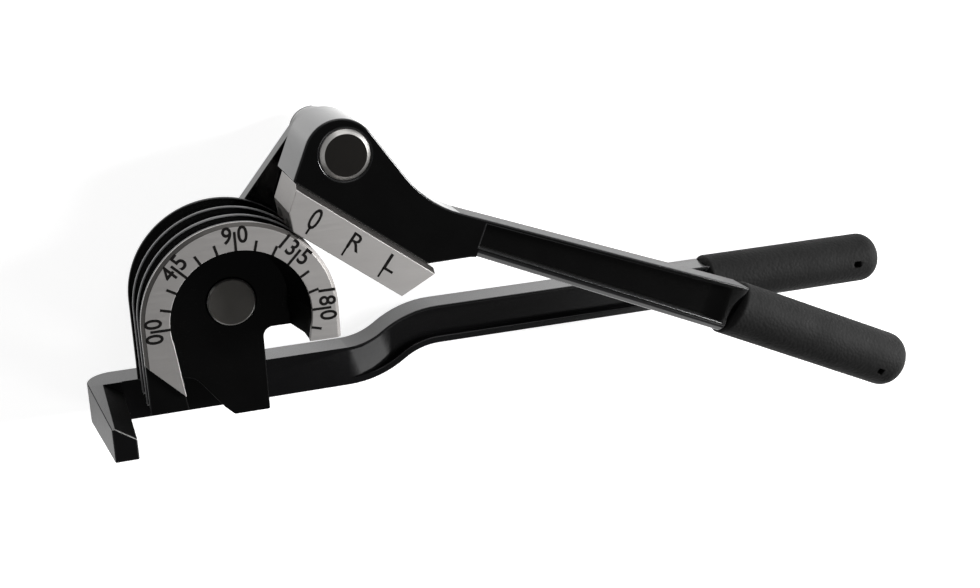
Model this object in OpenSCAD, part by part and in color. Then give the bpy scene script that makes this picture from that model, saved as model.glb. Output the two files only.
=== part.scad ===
// Lever tube bender with three bending grooves, lying on its back.
// Z is the axis of the forming wheel and points out of its scale face, X runs along the lower handle
// and Y towards the 90 degree mark of the scale. The lowest point of the lower grip lies at Z = 0.

/* [Tubes] */
// Outside diameter of the tube that the front groove takes
tube_front_d = 6.35; // [6:0.05:6.7]
// Outside diameter of the tube that the middle groove takes
tube_mid_d = 7.94; // [7.6:0.02:8.3]
// Outside diameter of the tube that the rear groove takes
tube_rear_d = 9.53; // [9.2:0.01:9.9]
// Bend radius at the centre line of the tube
bend_r = 23.8; // [23:0.1:24.6]
// Play between a tube and its groove
tube_play = 0.05; // [0.02:0.01:0.1]

/* [Forming wheel] */
// Height of the rims above the centre line of the tube
rim_over = 1.2; // [0.8:0.1:1.6]
// Thickness of the rims beside and between the grooves
rim_t = 1.2; // [0.8:0.1:1.6]
// Thickness of the recessed web and of the leg below it
web_t = 14; // [12:0.5:16]
// Length of the straight tail past the 0 mark, at its outer edge
tail_l = 8.8; // [7:0.1:10]
// Length of the straight tail past the 0 mark, at its inner edge
tail_tip_l = 18.2; // [16:0.1:20]
// How far the inner edge of the tail leans in at its tip
tail_lean = 2.2; // [1:0.1:3]
// Length of the straight end past the 180 mark
end_l = 8.4; // [7:0.1:9.5]
// Place of the right edge of the leg, from the wheel axis
leg_right = 7.7; // [7.2:0.1:8.6]
// Place of the left edge of the leg, from the wheel axis
leg_left = 4.2; // [3.5:0.1:5]
// Height of the lower end of the leg above the lower edge of the handle
leg_up = 2.2; // [1:0.1:3]
// Size of the cut-off lower corner of the leg
leg_chamfer = 2.4; // [1:0.1:3]
// Place of the corner of the web between the leg and the tail, left of the wheel axis
hollow_x = 11.1; // [10.5:0.1:11.7]
// Place of this corner below the wheel axis
hollow_y = 19.8; // [19:0.1:20.5]
// Radius of this corner
hollow_r = 4; // [2:0.5:6]
// How far the wall of the recess slopes in at its foot
recess_slope = 3; // [1:0.1:3.4]
// Radius of the rounded notch beside the leg
notch_r = 2.6; // [1.5:0.1:3]

/* [Scale ring] */
// Inner radius of the scale ring and of the recess in the wheel
ring_in_r = 17.95; // [17.2:0.05:18.2]
// Thickness of the scale ring
ring_t = 1.4; // [1:0.1:2]
// Bevel of the outer edge of the scale ring
ring_bevel = 0.9; // [0.5:0.1:0.9]
// Diameter of the pegs that hold the scale ring
peg_d = 1.4; // [1:0.1:1.6]
// Length of the pegs that hold the scale ring
peg_l = 4; // [2:0.5:5]

/* [Lower handle] */
// Height of the handle bar
bar_h = 11.2; // [10.5:0.1:12]
// Thickness of the handle bar
bar_t = 9.5; // [9:0.1:10]
// Distance of the bar's centre line below the wheel axis
bar_drop = 28; // [27.5:0.1:29]
// Place where the bar starts to rise
jog_x = 33; // [32:0.5:36]
// Radius of the two bends of the rise
jog_r = 23.5; // [21:0.5:26]
// Height of the rise
jog_rise = 8.5; // [7.5:0.1:9]
// Length of the bar from the wheel axis to its shoulder at the grip
bar_reach = 146; // [135:1:160]
// Depth of the recess in the front of the bar
bar_recess = 2.4; // [1:0.1:3]
// Width of the flange below the recess
flange_low = 2; // [1.5:0.1:2.5]
// Width of the flange above the recess
flange_top = 0.9; // [0.6:0.1:1.5]
// Diameter of the round tang inside a grip
tang_d = 8; // [7:0.1:8]
// Length of full section between a recess and the grip
end_wall = 1.3; // [1:0.1:2]

/* [Hook] */
// Room between the largest tube and the hook
hook_play = 0.35; // [0.2:0.05:1]
// Thickness of the hook at its root
hook_root_t = 9.8; // [9:0.1:11]
// Thickness of the hook at its tip
hook_tip_t = 6; // [5:0.1:7]
// Radius of the outer bend of the hook
hook_r = 7; // [5:0.5:8]
// How far the top of the hook falls from its root to its tip
hook_fall = 1.4; // [0.5:0.1:2]
// How far the underside of the hook rises from its root to its tip
hook_lift = 0.7; // [0.3:0.1:1.2]
// How far the sloped inner edge of the hook falls across its tip
hook_slope = 3.6; // [2:0.1:4.5]
// Width of the flat left beside the slope at the tip
hook_flat = 0.8; // [0.4:0.1:1.5]

/* [Grips] */
// Diameter of the lower grip
grip_d = 15; // [14:0.1:16]
// Diameter of the upper grip
upper_grip_d = 16.2; // [15.4:0.1:16.6]
// How far the upper grip turns down from the line of its bar
grip_droop = 2.4; // [1:0.1:4]
// Length of the lower grip
lower_grip_l = 59.5; // [50:0.5:70]
// Length of the upper grip at its longest
upper_grip_l = 64.5; // [55:0.5:75]
// Radius of the rounded end of the grips
grip_end_r = 5.5; // [4:0.5:6.5]
// Thickness of the closed end of the grips
grip_end_t = 6; // [4:0.5:8]
// Side of the small square hole near the end of the grips
vent_w = 2.1; // [1:0.1:2.4]
// Distance of this hole from the end of the grip
vent_back = 9.5; // [8:0.5:12]
// Turn of the upper grip's hole round the grip
vent_turn = 23; // [0:1:30]

/* [Link] */
// Distance between the wheel pin and the lever pin
link_len = 48.7; // [48.2:0.1:50]
// Angle of the link at rest
link_angle = 52.3; // [45:0.1:60]
// Thickness of the link
link_t = 5.2; // [4.5:0.1:5.6]
// Radius of the link round the wheel pin
link_wheel_r = 8.6; // [8.5:0.1:9.2]
// Radius of the link round the lever pin
link_lever_r = 6.8; // [6.7:0.1:7.4]

/* [Pins] */
// Diameter of the wheel pin
wheel_pin_d = 12.7; // [12:0.1:13]
// Diameter of the lever pin's shank
lever_pin_d = 11; // [10:0.1:11.4]
// Diameter of the lever pin's head
lever_head_d = 13.3; // [12.6:0.1:13.5]
// Thickness of the lever pin's head
lever_head_t = 2.2; // [1.8:0.1:2.6]
// How far the pins stand proud of what they pass through
pin_proud = 0.8; // [0.4:0.1:1.2]
// Bevel on the visible edge of the lever pin's head
head_bevel = 1.2; // [0.6:0.05:1.4]
// Bevel on the ends of the pins
pin_bevel = 0.4; // [0.2:0.05:0.6]
// Wall of the pivot bushes
bush_wall = 1.2; // [1:0.1:1.3]
// Thickness of the thrust washer between wheel and link
thrust_t = 0.8; // [0.6:0.1:1]
// Thickness of the washers behind the link
washer_t = 1.2; // [1:0.1:1.4]
// Width of the washers around the wheel pin
washer_w = 2.2; // [1.8:0.1:2.2]
// Width of the spacer and of the washer around the lever pin
spacer_w = 1.1; // [0.9:0.1:1.2]
// Thickness of the retaining clips
clip_t = 1.2; // [1:0.1:1.3]
// Depth of the clip grooves in the pins
clip_depth = 0.7; // [0.5:0.05:1]
// Diameter of the rivets that hold the wheel to the handle
rivet_d = 3.6; // [3:0.1:3.8]
// Diameter of the sunk heads of these rivets
rivet_head_d = 5.2; // [4.6:0.1:5.6]
// Distance between these rivets
rivet_gap = 6; // [5.7:0.1:6.4]
// Depth of these rivets in the leg
rivet_l = 9; // [6:0.5:11]

/* [Lever] */
// Angle of the shoe and of the lever at rest
lever_angle = -37.5; // [-40:0.1:-35]
// Angle of the lever bar to the shoe
lever_rise = 15.1; // [13:0.1:17]
// Radius of the rounded head
head_r = 9.6; // [9.2:0.1:10.4]
// How far the rounded head sits behind the pivot
head_back = 0.7; // [0.4:0.1:1.2]
// Place of the lower left corner of the head, behind the pivot
head_left = 7.6; // [7:0.1:8.4]
// Room between the head and the plane of the wheel's back
head_room = 8.2; // [7.6:0.1:8.8]
// How far the rounded head sits below the pivot
head_sink = 0.9; // [0.4:0.1:1.2]
// Distance from the pivot to the start of the lever bar
neck_l = 44; // [42:0.5:48]
// How far the start of the lever bar sits above the pivot
neck_lift = 0.5; // [0:0.1:1]
// Height of the lever bar at the neck
lever_h_neck = 10.3; // [9.6:0.1:11]
// Height of the lever bar at the grip
lever_h_grip = 14.2; // [13:0.1:14.8]
// Length of the lever bar from the neck to the grip
lever_l = 79; // [70:1:90]
// Thickness of the lever bar
lever_t = 10; // [9:0.2:12]
// Radius of the hollow top of the neck
neck_top_r = 30; // [20:1:36]
// Radius of the hollow underside of the neck
neck_low_r = 8; // [5:0.5:9]
// Depth of the recess in the front of the lever
lever_recess = 2.6; // [1:0.1:3.5]
// Width of the border above the recess
border_top = 1.3; // [1:0.1:2]
// Width of the border below the recess, with its bevel
border_low = 2.8; // [2.4:0.1:3.2]
// Bevel of the lower front edge of the lever bar
low_bevel = 1.5; // [1:0.1:2]
// Length of the ramp at the grip end of the recess
ramp_l = 6; // [4:0.5:9]
// Slant of the mouth of the upper grip
mouth_slant = 14; // [0:1:20]

/* [Forming shoe] */
// Gap between the shoe and the rims of the wheel
shoe_gap = 0.5; // [0.4:0.05:0.6]
// Height of the shoe
shoe_h = 10.5; // [9.8:0.1:11]
// Place along the lever where the grooved face of the shoe starts, from the pivot
shoe_start = -1.2; // [-2.5:0.1:-0.5]
// Length of the grooved face of the shoe
shoe_l = 34; // [30:0.5:36]
// How far the shoe's end face leans back
shoe_lean = 4; // [2:0.2:5]
// Size of the cut-off corner where the tube enters the shoe
shoe_lead = 3.6; // [2.5:0.1:4.5]
// How much later the rear groove of the shoe starts
shoe_step = 3; // [2:0.1:3.5]
// How far the shoe stands proud of the head
shoe_proud = 2; // [1.5:0.1:2.4]
// Room between the shoe and the plane of the wheel's back
shoe_room = 0.65; // [0.5:0.05:0.9]
// Length of the head's tongue inside the shoe
tongue_l = 24; // [18:1:26]
// Width of the head's tongue inside the shoe
tongue_w = 11; // [9:0.5:13]
// Depth of the head's tongue inside the shoe
tongue_h = 4.6; // [4:0.1:5]
// Diameter of the cross pins through the shoe
cross_pin_d = 2.4; // [2:0.1:2.8]

/* [Clearances] */
// Radial running clearance of the pivots
run_play = 0.05; // [0.03:0.01:0.08]
// Play of pieces that are pressed or seated
seat_play = 0.015; // [0.01:0.005:0.02]
// Gap between faces that slide past each other
slide_gap = 0.3; // [0.25:0.05:0.4]

/* [Hidden] */
$fn = 96;

// Overrun of a cutting shape past the face that it opens
over = 1;
// Reach of a cutting shape that only has to be larger than the part
far = 60;
// Half the opening of a retaining clip, in degrees
clip_open = 35;
// Largest step along an arc of an outline, in degrees
arc_step = 5;

// Levels along Z, from the back of the tool to its face; the pins and the lower grip rest on a bench
rest_z = 0;
bar_mid_z = grip_d / 2;
bar_back_z = bar_mid_z - bar_t / 2;
bar_front_z = bar_mid_z + bar_t / 2;
wheel_back_z = bar_front_z;
rear_r = tube_rear_d / 2 + tube_play;
mid_r = tube_mid_d / 2 + tube_play;
front_r = tube_front_d / 2 + tube_play;
rear_z = wheel_back_z + rim_t + rear_r;
mid_z = rear_z + rear_r + rim_t + mid_r;
front_z = mid_z + mid_r + rim_t + front_r;
wheel_front_z = front_z + front_r + rim_t;
ring_front_z = wheel_front_z + ring_t;
web_front_z = wheel_back_z + web_t;
grooves = [[rear_z, rear_r], [mid_z, mid_r], [front_z, front_r]];

thrust_back_z = wheel_back_z - thrust_t;
link_front_z = thrust_back_z - slide_gap;
link_back_z = link_front_z - link_t;
wheel_washer_z = link_back_z - slide_gap - washer_t;
wheel_clip_z = wheel_washer_z - clip_t;
lever_washer_z = link_back_z - washer_t;
lever_clip_z = lever_washer_z - clip_t;
head_back_z = wheel_back_z + head_room;
head_front_z = ring_front_z - shoe_proud;
lever_back_z = head_front_z - lever_t;
lever_mid_z = head_front_z - lever_t / 2;
shoe_back_z = wheel_back_z + shoe_room;
shoe_front_z = ring_front_z;
shoe_mid_z = (shoe_back_z + shoe_front_z) / 2;
shoe_step_z = mid_z - mid_r - rim_t / 2;
pin_head_z = head_front_z + pin_proud - lever_head_t;
counterbore_z = pin_head_z - slide_gap;
bush_front_z = counterbore_z - bush_wall;

// Forming wheel
rim_r = bend_r + rim_over;
tail_tip_x = -ring_in_r + tail_lean;
// Place of the tail's inner edge where it meets the level of the handle's top
tail_foot_x = -ring_in_r + tail_lean * (bar_drop - bar_h / 2) / tail_tip_l;
leg_low_y = -bar_drop - bar_h / 2 + leg_up;
peg_r = (ring_in_r + bend_r - front_r) / 2;
peg_angles = [20, 90, 160];
wheel_pin_r = wheel_pin_d / 2;
lever_pin_r = lever_pin_d / 2;

// Lower handle
jog_turn = acos(1 - jog_rise / (2 * jog_r));
jog_run = 2 * jog_r * sin(jog_turn);
bar_axis_y = -bar_drop + jog_rise;
hook_in_x = -(bend_r + rear_r + hook_play);
hook_root_x = hook_in_x - hook_root_t;
hook_tip_x = hook_in_x - hook_tip_t;
bar_top_y = -bar_drop + bar_h / 2;
// Length of the tang inside the full section of the bar
tang_root = end_wall / 2;

// Lever, in its own frame: the pivot at the origin and the shoe along X
shoe_face = -(link_len - rim_r - shoe_gap);
shoe_top = shoe_face + shoe_h;
groove_line = -(link_len - bend_r);
shoe_end = shoe_start + shoe_l;
shoe_mid = shoe_start + shoe_l / 2;
tongue_start = shoe_mid - tongue_l / 2;
pivot = link_len * [cos(link_angle), sin(link_angle)];
neck_start = [neck_l, neck_lift];
lever_slope = (lever_h_grip - lever_h_neck) / (2 * lever_l);
head_c = [-head_back, -head_sink];
// Places along the lever bar where the rounded corners of the neck lie, above and below
neck_top_s = -17.5;
neck_low_s = -0.3;
// Place along the shoe where the hollow back of the neck starts
hollow_u = 26.4;

function unit(a) = [cos(a), sin(a)];

// Point where the tangent from p touches the circle of radius r round c, on the given side
function touch(p, c, r, side) =
  let (d = c - p, l = norm(d), a = atan2(d[1], d[0]) + side * asin(r / l))
  p + sqrt(l * l - r * r) * unit(a);

// Point of the lever at distance s along its bar and w across it
function on_lever(s, w) = neck_start + s * unit(lever_rise) + w * unit(lever_rise + 90);

// Place along the lever bar of the slanted mouth of its grip, w across the bar
function mouth_s(w) = lever_l + (upper_grip_d / 2 + w) * tan(mouth_slant);

// Half the height of the lever bar at distance s from the neck
function lever_half(s) = lever_h_neck / 2 + s * lever_slope;

// Points on the arc of radius r round c from angle a1 to angle a2
function arc(c, r, a1, a2) =
  let (n = ceil(abs(a2 - a1) / arc_step))
  [for (i = [0 : n]) c + r * unit(a1 + (a2 - a1) * i / n)];

// Angle of the way from p to q
function heading(p, q) = atan2(q[1] - p[1], q[0] - p[0]);

// Angle brought between -180 and 180 degrees
function wrap(a) = a - 360 * round(a / 360);

// Points that round the corner p of an outline with the radius p[2], between its two neighbours
function round_corner(before, p, after) =
  let (
    a = heading(p, before),
    turn = wrap(heading(p, after) - a),
    side = sign(turn),
    c = [p[0], p[1]] + p[2] / sin(abs(turn) / 2) * unit(a + turn / 2),
    start = a - side * 90
  )
  arc(c, p[2], start, start - side * (180 - abs(turn)));

// Outline through points [x, y, r]: a corner with a radius r is rounded, a corner without stays sharp
function rounded(pts) =
  let (n = len(pts))
  [for (i = [0 : n - 1]) each
    is_undef(pts[i][2]) ? [pts[i]] : round_corner(pts[(i + n - 1) % n], pts[i], pts[(i + 1) % n])];

// Corner p of an outline with the radius r
function with_r(p, r) = [p[0], p[1], r];

// Straight prism of a flat shape between two levels
module between(z1, z2) {
  translate([0, 0, z1]) linear_extrude(z2 - z1) children();
}

module ring_shape(r_out, r_in, z1, z2) {
  between(z1, z2) difference() {
    circle(r_out);
    circle(r_in);
  }
}

// Places a piece in the frame of the lever
module in_lever() {
  translate([pivot[0], pivot[1], 0]) rotate(lever_angle) children();
}

// Places a piece at the lever pin
module at_lever_pin() {
  translate([pivot[0], pivot[1], 0]) children();
}

// Pin along Z with a bevel at both ends and a groove for its clip
module grooved_pin(r, z1, z2, clip_z) {
  rotate_extrude() difference() {
    translate([0, z1]) square([r, z2 - z1]);
    polygon([[r - pin_bevel, z1], [r + over, z1], [r + over, z1 + pin_bevel + over], [r, z1 + pin_bevel]]);
    polygon([[r - pin_bevel, z2], [r, z2 - pin_bevel], [r + over, z2 - pin_bevel - over], [r + over, z2]]);
    translate([r - clip_depth, clip_z - seat_play]) square([clip_depth + over, clip_t + 2 * seat_play]);
  }
}

// Open retaining clip round a pin of radius r
module clip(r, z) {
  inner = r - clip_depth + seat_play;
  difference() {
    ring_shape(r + washer_w / 2, inner, z, z + clip_t);
    between(z - over, z + clip_t + over) polygon([[0, 0], far * unit(-clip_open), far * unit(clip_open)]);
  }
}

// Outline of a rim with its straight ends, as seen from the front; the tail's end runs from outer to inner
module rim_plan(outer, inner) {
  intersection() {
    circle(rim_r);
    translate([-far, 0]) square([2 * far, far]);
  }
  polygon([[-rim_r, 0], [-ring_in_r, 0], inner, outer]);
  polygon([[rim_r, 0], [ring_in_r, 0], [ring_in_r - rim_over, -end_l], [rim_r, -end_l]]);
}

// Outline of the web below the wheel axis, with the leg that stands on the handle
module web_plan() {
  polygon(rounded([
    [-ring_in_r, 0], [ring_in_r, 0], [ring_in_r - rim_over, -end_l], [leg_right, -end_l, notch_r],
    [leg_right, leg_low_y], [leg_chamfer - leg_left, leg_low_y], [-leg_left, leg_low_y + leg_chamfer],
    [-hollow_x, -hollow_y, hollow_r], [-ring_in_r, -tail_tip_l]
  ]));
}

// Section of the sloped wall of the recess, at the wheel's right
module recess_wall() {
  polygon([[ring_in_r, wheel_front_z], [ring_in_r - recess_slope, web_front_z], [ring_in_r, web_front_z]]);
}

// Groove of radius r round the wheel and along its straight ends
module wheel_groove(r) {
  rotate_extrude(angle = 180) groove_section(r);
  rotate([90, 0, 0]) linear_extrude(far) {
    groove_section(r);
    mirror([1, 0]) groove_section(r);
  }
}

// Section of a groove: round at the bottom and open outwards
module groove_section(r) {
  translate([bend_r, 0]) circle(r);
  translate([bend_r, -r]) square([rim_over + over, 2 * r]);
}

module form_wheel() {
  color([0.08, 0.08, 0.09]) difference() {
    union() {
      difference() {
        between(wheel_back_z, wheel_front_z) rim_plan([-rim_r, bar_top_y], [tail_foot_x, bar_top_y]);
        translate([0, 0, web_front_z])
          cylinder(r1 = ring_in_r - recess_slope, r2 = ring_in_r, h = wheel_front_z - web_front_z);
      }
      between(wheel_back_z, web_front_z) web_plan();
      rotate([90, 0, 0]) {
        linear_extrude(end_l) recess_wall();
        mirror([1, 0, 0]) linear_extrude(-bar_top_y) recess_wall();
      }
    }
    for (g = grooves) translate([0, 0, g[0]]) wheel_groove(g[1]);
    between(wheel_back_z - over, wheel_front_z) circle(wheel_pin_r + seat_play);
    for (a = peg_angles) translate(peg_r * unit(a))
      between(wheel_front_z - peg_l - seat_play, wheel_front_z + over) circle(peg_d / 2 + seat_play);
    rivet_places() between(bar_front_z - over, bar_front_z + rivet_l + seat_play)
      circle(rivet_d / 2 + seat_play);
  }
}

module scale_ring() {
  color([0.66, 0.65, 0.63]) {
    difference() {
      between(wheel_front_z, ring_front_z) difference() {
        rim_plan([-rim_r, -tail_l], [tail_tip_x, -tail_tip_l]);
        circle(ring_in_r);
      }
      rotate_extrude(angle = 180) ring_edge();
      rotate([90, 0, 0]) linear_extrude(far) {
        ring_edge();
        mirror([1, 0]) ring_edge();
      }
    }
    for (a = peg_angles) translate(peg_r * unit(a))
      between(wheel_front_z - peg_l, wheel_front_z) circle(peg_d / 2);
  }
}

// Section of what the bevel takes off the outer edge of the scale ring
module ring_edge() {
  polygon([
    [rim_r - ring_bevel, ring_front_z], [rim_r, ring_front_z - ring_bevel],
    [rim_r + over, ring_front_z - ring_bevel - over], [rim_r + over, ring_front_z]
  ]);
}

module wheel_pivot_pin() {
  color([0.5, 0.5, 0.5])
    grooved_pin(wheel_pin_r, rest_z, web_front_z + pin_proud, wheel_clip_z);
}

module wheel_thrust_washer() {
  color([0.6, 0.55, 0.4])
    ring_shape(wheel_pin_r + washer_w, wheel_pin_r + seat_play, thrust_back_z, wheel_back_z);
}

module wheel_pin_washer() {
  color([0.55, 0.55, 0.55])
    ring_shape(wheel_pin_r + washer_w, wheel_pin_r + seat_play, wheel_washer_z, wheel_washer_z + washer_t);
}

module wheel_pin_clip() {
  color([0.25, 0.25, 0.26]) clip(wheel_pin_r, wheel_clip_z);
}

// Places of the two rivets, side by side on the bar's centre line
module rivet_places() {
  for (side = [-1, 1])
    translate([(leg_right - leg_left) / 2 + side * rivet_gap / 2, -bar_drop, 0]) children();
}

module wheel_rivets() {
  color([0.3, 0.3, 0.3]) rivet_places() rivet(0, bar_front_z + rivet_l);
}

// Rivet from the back of the handle, with a sunk head
module rivet(play, z_end) {
  r = rivet_d / 2 + play;
  head_r = rivet_head_d / 2 + play;
  sink = head_r - r;
  rotate_extrude() polygon([
    [0, bar_back_z], [head_r, bar_back_z], [r, bar_back_z + sink], [r, z_end], [0, z_end]
  ]);
}

// Outline of the handle from x1 to x2, of height h, raised by up from the bar's centre line
module bar_plan(x1, x2, h, up) {
  half_turn = tan(jog_turn / 2);
  low = up - h / 2;
  top = up + h / 2;
  c1 = [jog_x + jog_r * half_turn, -bar_drop];
  c2 = [jog_x + jog_run - jog_r * half_turn, bar_axis_y];
  polygon(rounded([
    [x1, -bar_drop + low], with_r(c1 + low * [-half_turn, 1], jog_r - low),
    with_r(c2 + low * [-half_turn, 1], jog_r + low), [x2, bar_axis_y + low],
    [x2, bar_axis_y + top], with_r(c2 + top * [-half_turn, 1], jog_r + top),
    with_r(c1 + top * [-half_turn, 1], jog_r - top), [x1, -bar_drop + top]
  ]));
}

// Section of the hook along the handle: bar end, outer bend and tapered finger
module hook_section() {
  polygon(rounded([
    [hook_root_x, bar_back_z, hook_r], [over, bar_back_z], [over, bar_front_z],
    [hook_in_x, bar_front_z], [hook_in_x, ring_front_z], [hook_tip_x, ring_front_z]
  ]));
}

module hook() {
  tip_h = ring_front_z - bar_front_z;
  fall = atan2(hook_fall, tip_h);
  lift = atan2(hook_lift, tip_h);
  slope = atan2(hook_slope, hook_tip_t - hook_flat);
  difference() {
    translate([0, -bar_drop + bar_h / 2, 0]) rotate([90, 0, 0]) linear_extrude(bar_h) hook_section();
    // the top falls towards the tip
    translate([-far, bar_top_y, bar_front_z]) rotate([fall, 0, 0]) cube([far, far, far]);
    // the underside rises towards the tip
    translate([-far, bar_top_y - bar_h, bar_front_z]) rotate([-lift, 0, 0]) translate([0, -far, 0])
      cube([far, far, far]);
    // the inner edge slopes towards the tube
    translate([hook_tip_x + hook_flat, bar_top_y - hook_fall, ring_front_z]) rotate([fall, 0, 0])
      rotate(-slope) translate([0, 0, hook_play - tip_h]) cube([hook_root_t, far, tip_h + over]);
  }
}

module lower_handle() {
  recess_h = bar_h - flange_low - flange_top;
  recess_up = (flange_low - flange_top) / 2;
  ramp = atan2(bar_recess, jog_run / 2);
  color([0.1, 0.1, 0.11]) difference() {
    union() {
      hook();
      between(bar_back_z, bar_front_z) bar_plan(0, bar_reach, bar_h, 0);
      translate([bar_reach, bar_axis_y, bar_mid_z]) tang(lower_grip_l);
    }
    // recess in the front, with a ramp where the bar rises
    intersection() {
      between(bar_front_z - bar_recess, bar_front_z + over)
        bar_plan(jog_x, bar_reach - end_wall, recess_h, recess_up);
      translate([jog_x, -far, bar_front_z]) rotate([0, ramp, 0]) cube([4 * far, 2 * far, far]);
    }
    rivet_places() {
      rivet(seat_play, bar_front_z + over);
      between(bar_back_z - over, bar_back_z) circle(rivet_head_d / 2 + seat_play);
    }
  }
}

// Round tang along X inside a grip of length l with its mouth at the origin, rooted in the bar behind it
module tang(l) {
  translate([-tang_root, 0, 0]) rotate([0, 90, 0]) cylinder(d = tang_d, h = tang_root + l - grip_end_t);
}

// Grip of diameter d and length l along X from its mouth at the origin, closed and rounded at its end, its hole turned
module grip(d, l, slant, turn) {
  difference() {
    rotate([0, 90, 0]) rotate_extrude() {
      square([d / 2, l - grip_end_r]);
      square([d / 2 - grip_end_r, l]);
      translate([d / 2 - grip_end_r, l - grip_end_r]) intersection() {
        circle(grip_end_r);
        square(grip_end_r);
      }
    }
    translate([-over, 0, 0]) rotate([0, 90, 0])
      cylinder(d = tang_d + 2 * seat_play, h = l - grip_end_t + seat_play + over);
    // slanted mouth, longest below
    translate([0, -d / 2, -d]) rotate(-slant) translate([-far, 0, 0]) cube([far, far, 2 * d]);
    // small square hole near the end
    rotate([turn, 0, 0]) translate([l - vent_back - vent_w / 2, -vent_w / 2, d / 2 - vent_w])
      cube([vent_w, vent_w, d]);
  }
}

module lower_grip() {
  color([0.22, 0.22, 0.22]) translate([bar_reach, bar_axis_y, bar_mid_z]) grip(grip_d, lower_grip_l, 0, 0);
}

module link_arm() {
  a = acos((link_wheel_r - link_lever_r) / link_len);
  color([0.1, 0.1, 0.11]) rotate(link_angle) between(link_back_z, link_front_z) difference() {
    polygon(concat(
      arc([0, 0], link_wheel_r, a, 360 - a),
      arc([link_len, 0], link_lever_r, -a, a)
    ));
    circle(wheel_pin_r + run_play + bush_wall + seat_play);
    translate([link_len, 0]) circle(lever_pin_r + seat_play);
  }
}

module link_bush() {
  color([0.65, 0.5, 0.3])
    ring_shape(wheel_pin_r + run_play + bush_wall, wheel_pin_r + run_play, link_back_z, link_front_z);
}

module lever_pivot_pin() {
  head_r = lever_head_d / 2;
  top_z = head_front_z + pin_proud;
  color([0.35, 0.35, 0.35]) at_lever_pin() {
    grooved_pin(lever_pin_r, rest_z, pin_head_z + pin_bevel, lever_clip_z);
    rotate_extrude() polygon([
      [0, pin_head_z], [head_r, pin_head_z], [head_r, top_z - head_bevel],
      [head_r - head_bevel, top_z], [0, top_z]
    ]);
  }
}

module lever_spacer() {
  color([0.55, 0.55, 0.55]) at_lever_pin()
    ring_shape(lever_pin_r + spacer_w, lever_pin_r + seat_play, link_front_z, head_back_z - slide_gap);
}

module lever_pin_washer() {
  color([0.55, 0.55, 0.55]) at_lever_pin()
    ring_shape(lever_pin_r + spacer_w, lever_pin_r + seat_play, lever_washer_z, link_back_z);
}

module lever_pin_clip() {
  color([0.25, 0.25, 0.26]) at_lever_pin() rotate(link_angle) clip(lever_pin_r, lever_clip_z);
}

module lever_pivot_bush() {
  color([0.65, 0.5, 0.3]) at_lever_pin()
    ring_shape(lever_pin_r + run_play + bush_wall, lever_pin_r + run_play, head_back_z, bush_front_z);
}

// Outline of the lever from its rounded head to the grip
module lever_plan() {
  left = [-head_left, shoe_top];
  right = [shoe_end + shoe_lean / 2, shoe_top];
  end_half = lever_half(lever_l);
  neck_top = on_lever(neck_top_s, lever_half(neck_top_s));
  neck_low = on_lever(neck_low_s, -lever_half(neck_low_s));
  a_left = heading(head_c, touch(left, head_c, head_r, 1));
  a_top = heading(head_c, touch(neck_top, head_c, head_r, -1));
  polygon(rounded(concat(
    [left],
    arc(head_c, head_r, a_left, a_top + (a_top > a_left ? -360 : 0)),
    [
      with_r(neck_top, neck_top_r), on_lever(mouth_s(end_half), lever_half(mouth_s(end_half))),
      on_lever(lever_l, -end_half), with_r(neck_low, neck_low_r), right
    ]
  )));
}

// Turns a shape to run along the lower edge of the lever bar, set in from it
module along_low_edge(inset) {
  p = on_lever(0, inset - lever_half(0));
  translate([p[0], p[1], 0]) rotate(lever_rise - atan(lever_slope)) children();
}

// What the recess takes out of the front of the lever
module lever_panel() {
  floor_z = head_front_z - lever_recess;
  ramp_start = on_lever(lever_l - end_wall - ramp_l, 0);
  slope = atan2(lever_recess, ramp_l);
  intersection() {
    between(floor_z, head_front_z + over) polygon([
      on_lever(0, border_low - lever_half(0)), on_lever(lever_l, border_low - lever_half(lever_l)),
      on_lever(lever_l, lever_half(lever_l) - border_top), on_lever(0, lever_half(0) - border_top)
    ]);
    // ramp at the grip end
    translate([ramp_start[0], ramp_start[1], floor_z]) rotate(lever_rise) rotate([0, -slope, 0])
      translate([-2 * far, -far, 0]) cube([3 * far, 2 * far, far]);
  }
}

// What the bevel takes off the lower front edge of the lever bar
module lever_bevel() {
  along_low_edge(low_bevel) translate([0, 0, head_front_z]) rotate([45, 0, 0]) translate([0, -far, 0])
    cube([2 * lever_l, 2 * far, far]);
}

// What the hollow back takes off behind the neck and the lever bar
module lever_back() {
  r = lever_back_z - head_back_z - over;
  translate([0, far, 0]) rotate([90, 0, 0]) linear_extrude(2 * far) polygon(rounded([
    [hollow_u, head_back_z - over], [hollow_u, lever_back_z, r],
    [4 * far, lever_back_z], [4 * far, head_back_z - over]
  ]));
}

module upper_lever() {
  color([0.09, 0.09, 0.1]) in_lever() difference() {
    union() {
      difference() {
        between(head_back_z, head_front_z) lever_plan();
        lever_back();
        lever_panel();
        lever_bevel();
      }
      translate([tongue_start, shoe_top - tongue_h, shoe_mid_z - tongue_w / 2])
        cube([tongue_l, tongue_h + over, tongue_w]);
      at_lever_grip() tang(upper_grip_l);
    }
    circle_cut(head_back_z - over, bush_front_z + seat_play, lever_pin_r + run_play + bush_wall + seat_play);
    circle_cut(head_back_z, counterbore_z + over, lever_pin_r + run_play);
    circle_cut(counterbore_z, head_front_z + over, lever_head_d / 2 + run_play);
    cross_pins(seat_play);
  }
}

// Round hole along the pivot
module circle_cut(z1, z2, r) {
  between(z1, z2) circle(r);
}

// Places a piece at the mouth of the upper grip, along the lever
module at_lever_grip() {
  p = on_lever(lever_l, -upper_grip_d / 2);
  translate([p[0], p[1], lever_mid_z]) rotate(lever_rise - grip_droop)
    translate([0, upper_grip_d / 2, 0]) children();
}

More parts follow.
